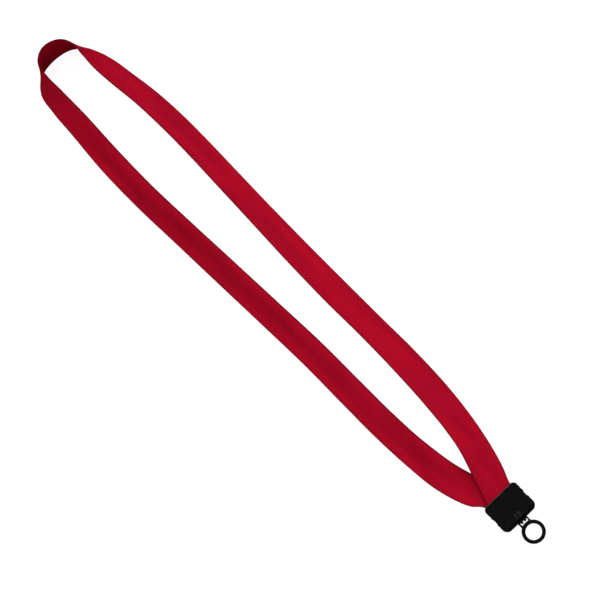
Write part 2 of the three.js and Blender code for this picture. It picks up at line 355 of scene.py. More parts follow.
class GeometryGraph(NodeGraph):
    """A Geometry Nodes tree with named inputs, which ends in real geometry with a material."""

    def __init__(self, name: str, sizes: dict[str, float]) -> None:
        """Starts a tree.

        Args:
            name: the tree's name.
            sizes: its named inputs and their values; a whole number makes a whole input.
        """
        super().__init__(bpy.data.node_groups.new(name, "GeometryNodeTree"))
        self.sizes = sizes
        interface = self.tree.interface
        interface.new_socket("Geometry", in_out="INPUT", socket_type="NodeSocketGeometry")
        for size, value in sizes.items():
            kind = "NodeSocketInt" if isinstance(value, int) else "NodeSocketFloat"
            interface.new_socket(size, in_out="INPUT", socket_type=kind)
        interface.new_socket("Finish", in_out="INPUT", socket_type="NodeSocketMaterial")
        interface.new_socket("Geometry", in_out="OUTPUT", socket_type="NodeSocketGeometry")
        self.given = self.tree.nodes.new("NodeGroupInput")

    def size(self, name: str) -> Value:
        """One of the named inputs."""
        return self.value(self.given.outputs[name])

    def stored(self, name: str) -> Value:
        """A number stored on the mesh, by name."""
        kind = "GeometryNodeInputNamedAttribute"
        return self.value(self.node(kind, {"data_type": "FLOAT"}, {"Name": name}).outputs[0])

    def vector(self, x: Term = 0.0, y: Term = 0.0, z: Term = 0.0) -> bpy.types.NodeSocket:
        """A vector made of three numbers."""
        return self.node("ShaderNodeCombineXYZ", inputs={0: x, 1: y, 2: z}).outputs[0]

    def join(self, *parts: bpy.types.NodeSocket) -> bpy.types.NodeSocket:
        """Several geometries as one.

        Args:
            parts: the geometries' sockets.

        Returns:
            The joined geometry's socket.
        """
        made = self.tree.nodes.new("GeometryNodeJoinGeometry")
        for part in parts:
            self.tree.links.new(part, made.inputs[0])
        return made.outputs[0]

    def position(self, axis: int) -> Value:
        """Each point's place along one axis, from 0 to 2."""
        return self.part(self.node("GeometryNodeInputPosition").outputs[0], axis)

    def ball(self, prefix: str) -> bpy.types.NodeSocket:
        """A round ball, sized by the three inputs whose names start with a word."""
        sizes = {name: self.size(f"{prefix} {name}") for name in ("Segments", "Rings", "Radius")}
        return self.node("GeometryNodeMeshUVSphere", inputs=sizes).outputs[0]

    def place(self, geometry: bpy.types.NodeSocket, **how: object) -> bpy.types.NodeSocket:
        """A geometry with its Translation, Rotation or Scale changed."""
        inputs = {"Geometry": geometry, **how}
        return self.node("GeometryNodeTransform", inputs=inputs).outputs[0]

    def shift(self, geometry: bpy.types.NodeSocket, offset: object) -> bpy.types.NodeSocket:
        """A geometry with each of its points moved by its own offset."""
        inputs = {"Geometry": geometry, "Offset": offset}
        return self.node("GeometryNodeSetPosition", inputs=inputs).outputs[0]

    def repeat(
        self, points: bpy.types.NodeSocket, instance: bpy.types.NodeSocket, **how: object
    ) -> bpy.types.NodeSocket:
        """A copy of a geometry at every point, with its Rotation or Scale if given."""
        inputs = {"Points": points, "Instance": instance, **how}
        return self.node("GeometryNodeInstanceOnPoints", inputs=inputs).outputs[0]

    def finish(self, geometry: bpy.types.NodeSocket) -> None:
        """Ends the tree: instances made real, then the finish set.

        Args:
            geometry: the socket of what the tree makes.
        """
        real = self.node("GeometryNodeRealizeInstances", inputs={0: geometry})
        smooth = self.node("GeometryNodeSetShadeSmooth", inputs={"Geometry": real.outputs[0]})
        dressed = self.node(
            "GeometryNodeSetMaterial",
            inputs={"Geometry": smooth.outputs[0], "Material": self.given.outputs["Finish"]},
        )
        output = self.tree.nodes.new("NodeGroupOutput")
        self.tree.links.new(dressed.outputs[0], output.inputs[0])

    def apply(self, piece: bpy.types.Object, finish: bpy.types.Material) -> None:
        """Runs the tree on a piece and keeps the result as its plain mesh.

        Args:
            piece: the object whose mesh the tree takes and replaces.
            finish: the material that the result wears.
        """
        modifier = piece.modifiers.new(self.tree.name, "NODES")
        modifier.node_group = self.tree
        identifiers = {
            item.name: item.identifier
            for item in self.tree.interface.items_tree
            if item.in_out == "INPUT"
        }
        for name, value in self.sizes.items():
            modifier[identifiers[name]] = value
        modifier[identifiers["Finish"]] = finish
        settle(piece)


# ---------------------------------------------------------------- meshes


def mesh_object(
    name: str,
    points: Sequence[Sequence[float]],
    faces: Sequence[Sequence[int]],
    edges: Sequence[Sequence[int]] = (),
) -> bpy.types.Object:
    """Makes an object that sits at the origin, with its place in its mesh.

    Args:
        name: the object's and the mesh's name.
        points: the vertices.
        faces: the faces' vertex numbers.
        edges: loose edges' vertex numbers.

    Returns:
        The object, smooth shaded and in the scene.
    """
    mesh = bpy.data.meshes.new(name)
    mesh.from_pydata(points, edges, faces)
    mesh.shade_smooth()
    made = bpy.data.objects.new(name, mesh)
    bpy.context.scene.collection.objects.link(made)
    return made


def settle(piece: bpy.types.Object) -> None:
    """Replaces a piece's mesh by what its modifiers make of it, and removes them.

    Args:
        piece: the object with live modifiers.
    """
    graph = bpy.context.evaluated_depsgraph_get()
    mesh = bpy.data.meshes.new_from_object(piece.evaluated_get(graph), depsgraph=graph)
    old = piece.data
    piece.modifiers.clear()
    piece.data = mesh
    mesh.name = piece.name
    bpy.data.meshes.remove(old)


def wear(piece: bpy.types.Object, finish: bpy.types.Material) -> None:
    """Gives a whole piece one material."""
    piece.data.materials.clear()
    piece.data.materials.append(finish)


def hang_on(piece: bpy.types.Object, body: Body, slot: Slot, *nodes: str) -> None:
    """Fixes a piece to its body and hides what it stands for.

    Args:
        piece: the finished piece.
        body: the body it rides on.
        slot: the record's material slot; not used.
        nodes: the CAD nodes it replaces.
    """
    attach(piece, body.value)
    if nodes:
        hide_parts(*nodes)
    triangles = sum(len(face.vertices) - 2 for face in piece.data.polygons)
    log.info("%s: %d triangles, on %s", piece.name, triangles, body.value)


# ---------------------------------------------------------------- moulded forms

Distance = Callable[[np.ndarray], np.ndarray]

# How mesh points are moved onto a form's surface: the number of steps, how many times finer than
# the mesh's spacing the slope is measured, the least slope trusted, and a length near nothing.
SURFACE_STEPS = 3
SLOPE_FINENESS = 10
LEAST_SLOPE = 0.5
TINY = 1e-12


def rounded_corner(sides: Sequence[np.ndarray], corner: float) -> np.ndarray:
    """Distance to a shape bounded on several square sides, with its corners rounded.

    Args:
        sides: distances beyond each side, negative inside.
        corner: the corner's radius.

    Returns:
        The signed distance.
    """
    beyond = np.stack([side + corner for side in sides], axis=-1)
    outside = np.linalg.norm(np.maximum(beyond, 0.0), axis=-1)
    return outside + np.minimum(beyond.max(axis=-1), 0.0) - corner


@dataclass(frozen=True)
class Form:
    """A moulded solid, held as its signed distance in metres, negative inside."""

    distance: Distance

    def join(self, other: Form, fillet: float = 0.0) -> Form:
        """Adds another form.

        Args:
            other: the form to add.
            fillet: the radius of the fillet where they meet.

        Returns:
            Both as one form.
        """

        def joined(p: np.ndarray) -> np.ndarray:
            """The nearer of the two, rounded out where both are near.

            Args:
                p: the points.

            Returns:
                The signed distance at each point.
            """
            a, b = self.distance(p), other.distance(p)
            near = np.hypot(np.maximum(fillet - a, 0.0), np.maximum(fillet - b, 0.0))
            return np.maximum(fillet, np.minimum(a, b)) - near

        return Form(joined)

    def keep(self, other: Form, edge: float = 0.0) -> Form:
        """Keeps only what lies in another form too.

        Args:
            other: the form to stay within.
            edge: the radius that the new edges are rounded to.

        Returns:
            What is kept.
        """

        def kept(p: np.ndarray) -> np.ndarray:
            """The farther of the two, rounded off where both are near.

            Args:
                p: the points.

            Returns:
                The signed distance at each point.
            """
            a, b = self.distance(p), other.distance(p)
            near = np.hypot(np.maximum(edge + a, 0.0), np.maximum(edge + b, 0.0))
            return np.minimum(-edge, np.maximum(a, b)) + near

        return Form(kept)

    def cut(self, other: Form, edge: float = 0.0) -> Form:
        """Takes another form away, with the new edges rounded to that radius."""
        return self.keep(Form(lambda p: -other.distance(p)), edge)

    def swung(self, pivot: Vector, angle: float) -> Form:
        """The form turned about a line along X through a point.

        Args:
            pivot: a point on the line, where the form's own origin goes.
            angle: the turn, from +Y towards +Z, in radians.

        Returns:
            The turned form.
        """
        cosine, sine = math.cos(angle), math.sin(angle)
        turn_back = np.array([[1, 0, 0], [0, cosine, -sine], [0, sine, cosine]])
        return Form(lambda p: self.distance((p - np.array(pivot)) @ turn_back))

    def solid(self, name: str, low: Point, high: Point, pitch: float) -> bpy.types.Object:
        """Meshes the form inside a box.

        Args:
            name: the object's name.
            low: the box's lowest corner, clear of the form.
            high: the box's highest corner, clear of the form.
            pitch: the mesh's spacing.

        Returns:
            One closed mesh of quads with its faces pointing out.
        """
        axes = [np.arange(low[i], high[i] + pitch, pitch) for i in range(3)]
        nodes = np.stack(np.meshgrid(*axes, indexing="ij"), axis=-1)
        values = self.distance(nodes.reshape(-1, 3)).reshape(nodes.shape[:3])
        cells, points = surface_points(values)
        points = np.array([axis[0] for axis in axes]) + points * pitch
        for _ in range(SURFACE_STEPS):
            points -= self.step_to_surface(points, pitch)
        return mesh_object(name, points.tolist(), surface_quads(values < 0, cells).tolist())

    def step_to_surface(self, points: np.ndarray, pitch: float) -> np.ndarray:
        """How far each point is from the surface.

        Args:
            points: points near the surface.
            pitch: the mesh's spacing.

        Returns:
            A vector for each point, no longer than half a spacing.
        """
        reach = pitch / SLOPE_FINENESS
        slope = np.stack(
            [
                (self.distance(points + offset) - self.distance(points - offset)) / (2 * reach)
                for offset in np.eye(3) * reach
            ],
            axis=-1,
        )
        size = np.maximum((slope**2).sum(axis=-1), LEAST_SLOPE**2)
        move = slope * (self.distance(points) / size)[:, None]
        length = np.linalg.norm(move, axis=-1, keepdims=True)
        return move * np.minimum(1.0, pitch / 2 / np.maximum(length, TINY))


def surface_points(values: np.ndarray) -> tuple[np.ndarray, np.ndarray]:
    """One point in every grid cell that a surface passes through.

    Args:
        values: distances at the grid's nodes.

    Returns:
        The cells' numbers, and the points in grid steps.
    """
    inside = values < 0
    corners = list(itertools.product((0, 1), repeat=3))
    shape = np.array(values.shape) - 1
    filled = np.zeros(shape, int)
    for a, b, c in corners:
        filled += inside[a : a + shape[0], b : b + shape[1], c : c + shape[2]]
    cells = np.argwhere((filled > 0) & (filled < len(corners)))
    total = np.zeros(cells.shape)
    hits = np.zeros(len(cells))
    for axis, step in enumerate(np.eye(3, dtype=int)):
        for corner in (np.array(c) for c in corners if c[axis] == 0):
            start = values[tuple((cells + corner).T)]
            end = values[tuple((cells + corner + step).T)]
            crossed = (start < 0) != (end < 0)
            share = np.where(crossed, start / np.where(crossed, start - end, 1.0), 0.0)
            total += crossed[:, None] * (corner + step * share[:, None])
            hits += crossed
    return cells, cells + total / hits[:, None]


def surface_quads(inside: np.ndarray, cells: np.ndarray) -> np.ndarray:
    """The faces between the cells that a surface passes through.

    Args:
        inside: which of the grid's nodes are in the solid.
        cells: the cells' numbers, one for each point.

    Returns:
        Four point numbers for each face, in the order that points it out.
    """
    number = np.full(np.array(inside.shape), -1)
    number[tuple(cells.T)] = np.arange(len(cells))
    quads = []
    for axis in range(3):
        u, v = np.eye(3, dtype=int)[[(axis + 1) % 3, (axis + 2) % 3]]
        start = np.take(inside, range(inside.shape[axis] - 1), axis)
        end = np.take(inside, range(1, inside.shape[axis]), axis)
        for leaving in (True, False):
            edges = np.argwhere((start == leaving) & (end != leaving))
            around = [-u - v, -v, np.zeros(3, int), -u]
            ring = [number[tuple((edges + shift).T)] for shift in around]
            quads.append(np.stack(ring if leaving else ring[::-1], axis=-1))
    return np.concatenate(quads)


def block(low: Point, high: Point, corner: float = 0.0) -> Form:
    """A block with its edges rounded.

    Args:
        low: its lowest corner.
        high: its highest corner.
        corner: its edges' radius.

    Returns:
        The block.
    """
    middle = (np.array(low) + np.array(high)) / 2
    half = (np.array(high) - np.array(low)) / 2

    def distance(p: np.ndarray) -> np.ndarray:
        """Distance to the block.

        Args:
            p: the points.

        Returns:
            The signed distance at each point.
        """
        beyond = np.abs(p - middle) - half
        return rounded_corner([beyond[..., 0], beyond[..., 1], beyond[..., 2]], corner)

    return Form(distance)


def post(x: float, y: float, low: float, high: float, radius: float, corner: float = 0.0) -> Form:
    """A round post along Z, with its rims rounded.

    Args:
        x: its axis's x.
        y: its axis's y.
        low: its lower end.
        high: its upper end.
        radius: its radius.
        corner: its rims' radius.

    Returns:
        The post.
    """

    def distance(p: np.ndarray) -> np.ndarray:
        """Distance to the post.

        Args:
            p: the points.

        Returns:
            The signed distance at each point.
        """
        around = np.hypot(p[..., 0] - x, p[..., 1] - y) - radius
        along = np.abs(p[..., 2] - (low + high) / 2) - (high - low) / 2
        return rounded_corner([around, along], corner)

    return Form(distance)


def rod(y: float, z: float, half_length: float, radius: float, corner: float = 0.0) -> Form:
    """A round rod along X, centred on x = 0, with its rims rounded.

    Args:
        y: its axis's y.
        z: its axis's height.
        half_length: half its length.
        radius: its radius.
        corner: its rims' radius.

    Returns:
        The rod.
    """

    def distance(p: np.ndarray) -> np.ndarray:
        """Distance to the rod.

        Args:
            p: the points.

        Returns:
            The signed distance at each point.
        """
        around = np.hypot(p[..., 1] - y, p[..., 2] - z) - radius
        return rounded_corner([around, np.abs(p[..., 0]) - half_length], corner)

    return Form(distance)


def above(height: float) -> Form:
    """Everything above a height."""
    return Form(lambda p: height - p[..., 2])


def below(height: float) -> Form:
    """Everything below a height."""
    return Form(lambda p: p[..., 2] - height)


# ---------------------------------------------------------------- finishes


@dataclass(frozen=True)
class Webbing:
    """Dyed polyester strap, woven in small offset floats, with painted shade in its grooves and along its
    edges.
    """

    name: str = "webbing"
    thread: Colour = (0.54, 0.0036, 0.0240)
    deep_thread: Colour = (0.34, 0.0020, 0.0150)
    # Painted shade in the weave's grooves, where shade falls between the threads.
    groove_shade: Colour = (0.21, 0.0008, 0.0080)
    # Painted shade along both edges, where the strap's edges turn away from the light.
    edge_shade: Colour = (0.11, 0.0010, 0.0070)
    warp_pitch: float = 0.00056
    weft_pitch: float = 0.0011
    edge_shade_width: float = 0.0009
    depth: float = 0.00006
    crest_power: float = 0.6
    crest_relief: float = 0.8
    mottle_size: float = 0.009
    mottle_stretch: float = 0.22
    mottle_rise: tuple[float, float] = (0.3, 0.7)
    mottle_share: float = 0.7
    fibre_size: float = 0.00018
    roughness: float = 0.92
    crest_polish: float = 0.14
    specular: float = 0.03
    sheen: float = 0.05
    sheen_roughness: float = 0.4
    sheen_tint: Colour = (1.0, 0.02, 0.07)

    def material(self, width: float) -> bpy.types.Material:
        """Builds the material.

        Args:
            width: the strap's width, for the painted shade along its two edges.

        Returns:
            The material, which reads the strap's own map of metres across and along.
        """
        graph = MaterialGraph(self.name)
        woven = graph.node("ShaderNodeUVMap", {"uv_map": WEAVE_UV}).outputs[0]
        across, along = graph.part(woven, 0), graph.part(woven, 1)
        column = across / self.warp_pitch
        half_step = column.whole() % 2.0 * 0.5
        row = along / self.weft_pitch + half_step
        hump = (row.fraction() * math.pi).sine() * (column.fraction() * math.pi).sine()
        crest = hump**self.crest_power
        patches = graph.noise(self.mottle_size, 3.0, (1.0, self.mottle_stretch, 1.0))
        mottle = patches.rise(*self.mottle_rise)
        fibre = graph.noise(self.fibre_size)
        # How far each point lies inside the painted edge shade.
        inward = across.lesser(width - across).rise(self.edge_shade_width / 3, self.edge_shade_width)
        shade = mottle * self.mottle_share + fibre * (1 - self.mottle_share)
        thread = graph.mix(shade, self.deep_thread, self.thread)
        # The weave's colour: thread colour on the crests, painted groove shade between them.
        weave_with_groove_shade = graph.mix(crest, self.groove_shade, thread)
        graph.set(
            Base_Color=graph.mix(inward, self.edge_shade, weave_with_groove_shade),
            Roughness=self.roughness - crest * self.crest_polish,
            Specular_IOR_Level=self.specular,
            Sheen_Weight=self.sheen,
            Sheen_Roughness=self.sheen_roughness,
            Sheen_Tint=self.sheen_tint,
        )
        graph.relief(crest * self.crest_relief + fibre * (1 - self.crest_relief), self.depth)
        return graph.material


@dataclass(frozen=True)
class WovenEdge:
    """The strap's woven edge, where the weft turns back: matte red, painted darker than the face's
    threads as shade on the sideways edges.
    """

    name: str = "woven_edge"
    # Painted shade: both reds are darker than the face's threads, standing in for shade on the
    # sideways-facing edges.
    light: Colour = (0.25, 0.0012, 0.0100)
    dark: Colour = (0.12, 0.0007, 0.0050)
    fibre_size: float = 0.0004
    fibre_rise: tuple[float, float] = (0.3, 0.7)
    roughness: float = 0.8
    fibre_roughness: float = 0.15
    specular: float = 0.02
    depth: float = 0.00004

    def material(self) -> bpy.types.Material:
        """Builds the material.

        Returns:
            The material.
        """
        graph = MaterialGraph(self.name)
        fibre = graph.noise(self.fibre_size, detail=3.0)
        graph.set(
            Base_Color=graph.mix(fibre.rise(*self.fibre_rise), self.dark, self.light),
            Roughness=self.roughness + fibre * self.fibre_roughness,
            Specular_IOR_Level=self.specular,
        )
        graph.relief(fibre, self.depth)
        return graph.material


@dataclass(frozen=True)
class PaintedHighlightZone:
    """A part of a moulding painted lighter where it stands out: a painted highlight."""

    colour: Colour
    rises: tuple[tuple[int, float, float], ...]

    def mask(self, graph: MaterialGraph) -> Value:
        """How much painted highlight each point takes.

        Args:
            graph: the moulding's material.

        Returns:
            1 where the point is past the rise on every axis named, and 0 before any of them.
        """
        place = graph.place()
        masks = [graph.part(place, axis).rise(low, high) for axis, low, high in self.rises]
        return functools.reduce(operator.mul, masks)


@dataclass(frozen=True)
class BlackMoulding:
    """Black moulded plastic with a fine spark-eroded grain and faint handling marks."""

    name: str
    light: Colour
    dark: Colour
    roughness: float
    specular: float
    grain_size: float
    grain_depth: float
    grain_rise: tuple[float, float] = (0.35, 0.65)
    grain_share: float = 0.6
    grain_roughness: float = 0.06
    mark_size: float = 0.004
    mark_rise: tuple[float, float] = (0.35, 0.7)
    mark_roughness: float = 0.08
    # Zones painted lighter as painted highlights, and the least share of each that the handling marks
    # leave.
    painted_highlights: tuple[PaintedHighlightZone, ...] = ()
    highlight_least: float = 0.55

    def material(self) -> bpy.types.Material:
        """Builds the material.

        Returns:
            The material.
        """
        graph = MaterialGraph(self.name)
        grain = graph.noise(self.grain_size, detail=4.0)
        marks = graph.noise(self.mark_size, detail=4.0).rise(*self.mark_rise)
        shade = grain.rise(*self.grain_rise) * self.grain_share + marks * (1 - self.grain_share)
        colour = graph.mix(shade, self.dark, self.light)
        # The painted highlights are broken up by the handling marks.
        highlight_strength = self.highlight_least + marks * (1 - self.highlight_least)
        for zone in self.painted_highlights:
            colour = graph.mix(zone.mask(graph) * highlight_strength, colour, zone.colour)
        graph.set(
            Base_Color=colour,
            Roughness=self.roughness + marks * self.mark_roughness + grain * self.grain_roughness,
            Specular_IOR_Level=self.specular,
        )
        graph.relief(grain, self.grain_depth)
        return graph.material


# Painted highlights on the lip of the clamshell's mouth and the crests of its hinge fingers. A rise is an
# axis and the two places along it between which the painted highlight sets in.
# Painted highlight: a thin lighter line on the mouth's lip, where its edge would catch the light.
MOUTH_LIP_HIGHLIGHT = PaintedHighlightZone((0.060, 0.044, 0.052), ((1, 0.0091, 0.0095), (2, 0.0046, 0.0054)))
# Painted highlight on the hinge fingers' crests, where they would catch the light.
FINGER_CREST_HIGHLIGHT = PaintedHighlightZone((0.012, 0.012, 0.013), ((2, 0.0066, 0.0070),))
CLAMSHELL_FINISH = BlackMoulding(
    name="clamshell_moulding",
    light=(0.0016, 0.0016, 0.0017),
    dark=(0.0008, 0.0008, 0.0009),
    roughness=0.25,
    specular=0.055,
    grain_size=0.00022,
    grain_depth=0.000012,
    painted_highlights=(MOUTH_LIP_HIGHLIGHT, FINGER_CREST_HIGHLIGHT),
)
RING_FINISH = BlackMoulding(
    name="ring_moulding",
    light=(0.0014, 0.0014, 0.0015),
    dark=(0.0007, 0.0007, 0.0008),
    roughness=0.30,
    specular=0.06,
    grain_size=0.0005,
    grain_depth=0.000004,
)


@dataclass(frozen=True)
class Tabletop:
    """A bright white table under even light, which keeps only the faintest shadow."""

    name: str = "tabletop"
    light: Colour = (0.30, 0.30, 0.30)
    dark: Colour = (0.28, 0.28, 0.28)
    glow: float = 0.86
    patch_size: float = 0.25
    roughness: float = 0.9

    def material(self) -> bpy.types.Material:
        """Builds the material.

        Returns:
            The material.
        """
        graph = MaterialGraph(self.name)
        graph.set(
            Base_Color=graph.mix(graph.noise(self.patch_size), self.dark, self.light),
            Roughness=self.roughness,
            Specular_IOR_Level=0.0,
            Emission_Color=(1.0, 1.0, 1.0),
            Emission_Strength=self.glow,
        )
        return graph.material


# ---------------------------------------------------------------- strap

# Stations from one clamped end, round the neck loop, to the other: the centreline's x and y, the
# height of the strap's lower edge, and its lean in degrees, where 0 lies flat with the outer
# face up and 90 stands on its outer edge.
ROUTE: list[tuple[float, float, float, float]] = [
    (0.0005, -0.004, 0.00335, 0),
    (0.0005, 0.01, 0.00335, 0),
    (0.0041, 0.021, 0.0033, 7),
    (0.007, 0.03, 0.0033, 16),
    (0.0104, 0.0425, 0.0031, 24),
    (0.0133, 0.06, 0.0028, 23),
    (0.0152, 0.08, 0.0024, 19.5),
    (0.0164, 0.112, 0.0016, 20.5),
    (0.0163, 0.145, 0.0007, 25.5),
    (0.0159, 0.172, 0.0002, 23),
    (0.0159, 0.208, 0.0, 26.5),
    (0.0166, 0.252, 0.0, 33),
    (0.0174, 0.29, 0.0004, 35),
    (0.0179, 0.316, 0.0014, 36),
    (0.0178, 0.338, 0.002, 36),
    (0.0165, 0.364, 0.0024, 38),
    (0.014, 0.386, 0.002, 41),
    (0.0122, 0.403, 0.0016, 47),
    (0.011, 0.414, 0.0012, 60),
    (0.0086, 0.425, 0.0008, 78),
    (0.0024, 0.4331, 0.0004, 92),
    (-0.0095, 0.4369, 0.0, 97),
    (-0.02, 0.4322, 0.0006, 78),
    (-0.0255, 0.422, 0.0009, 52),
    (-0.0267, 0.4075, 0.0017, 41),
    (-0.0272, 0.386, 0.0021, 34),
    (-0.0287, 0.35, 0.0015, 27),
    (-0.0286, 0.315, 0.0008, 28),
    (-0.027, 0.28, 0.0003, 28.5),
    (-0.025, 0.24, 0.0001, 26),
    (-0.0229, 0.198, 0.0002, 24.5),
    (-0.021, 0.157, 0.0005, 22),
    (-0.0205, 0.12, 0.0014, 20.5),
    (-0.02, 0.092, 0.0026, 19.5),
    (-0.0181, 0.063, 0.0026, 17),
    (-0.015, 0.042, 0.0012, 4),
    (-0.0116, 0.03, 0.0012, 0),
    (-0.008, 0.021, 0.0017, 0),
    (-0.0012, 0.01, 0.00215, 0),
    (-0.0012, -0.004, 0.00215, 0),
]

# How the strap curves crosswise as it relaxes: the share of its length, its crown, which is
# negative where it is dished, and the height of its S-shaped wave towards the inner edge.
CROSSWISE_SHAPE: list[tuple[float, float, float]] = [
    (0.0, 0.0, 0.0),
    (0.04, 0.0, 0.0),
    (0.08, -0.0006, 0.0),
    (0.40, -0.0008, 0.0),
    (0.46, -0.0003, 0.0),
    (0.52, 0.0, 0.0),
    (0.58, 0.0, 0.0007),
    (0.85, -0.0002, 0.0007),
    (0.91, -0.0007, 0.0002),
    (0.93, -0.0006, 0.0007),
    (0.945, -0.0003, 0.0012),
    (0.96, 0.0, 0.0010),
    (0.975, 0.0, 0.0),
    (1.0, 0.0, 0.0),
]


@dataclass
class Route:
    """The strap's centreline with its lean, smoothed between the stations."""

    stations: list[tuple[float, float, float, float]]
    mouth_spans: int = 1
    coarse_steps: int = 24
    start_mouth: float = field(init=False, default=0.0)
    end_mouth: float = field(init=False, default=0.0)

    def samples(self, spacing: float) -> tuple[np.ndarray, np.ndarray]:
        """Samples the route evenly, and notes where it passes the clamshell's mouth.

        Args:
            spacing: the distance between samples, about.

        Returns:
            The samples' x, y, lower edge and lean in degrees, and their distances along.
        """
        given = np.array(self.stations, float)
        spans = np.hypot(*np.diff(given[:, :2], axis=0).T)
        chords = np.diff(given, axis=0) / spans[:, None]
        slopes = np.vstack([chords[:1], self.inner_slopes(chords, spans), chords[-1:]])
        pieces = []
        for i, span in enumerate(spans):
            t = np.arange(self.coarse_steps)[:, None] / self.coarse_steps
            rise = given[i + 1] - given[i]
            bend = (slopes[i] * span - rise) * (1 - t) - (slopes[i + 1] * span - rise) * t
            pieces.append(given[i] + rise * t + t * (1 - t) * bend)
        fine = np.vstack([*pieces, given[-1:]])
        run = np.concatenate([[0.0], np.hypot(*np.diff(fine[:, :2], axis=0).T).cumsum()])
        count = round(run[-1] / spacing)
        at = np.linspace(0.0, run[-1], count + 1)
        self.start_mouth = run[self.mouth_spans * self.coarse_steps]
        self.end_mouth = run[-1 - self.mouth_spans * self.coarse_steps]
        return np.stack([np.interp(at, run, column) for column in fine.T], axis=-1), at

    @staticmethod
    def inner_slopes(chords: np.ndarray, spans: np.ndarray) -> np.ndarray:
        """Slopes at the stations between the ends, weighted by the neighbouring spans."""
        before, after = spans[:-1, None], spans[1:, None]
        return (chords[:-1] * after + chords[1:] * before) / (before + after)

    def mouth_distance(self, along: np.ndarray) -> np.ndarray:
        """Distance from the nearer mouth of the clamshell, negative inside it."""
        return np.minimum(along - self.start_mouth, self.end_mouth - along)

    def square_heading(self, along: np.ndarray) -> np.ndarray:
        """The heading square to the nearer mouth: +Y leaving, -Y coming back."""
        leaving = along - self.start_mouth < self.end_mouth - along
        return np.where(leaving, math.pi / 2, -math.pi / 2)


def smooth_step(value: np.ndarray, low: float, high: float) -> np.ndarray:
    """Climbs smoothly from 0 at low to 1 at high."""
    t = np.clip((value - low) / (high - low), 0.0, 1.0)
    return t * t * (3 - 2 * t)


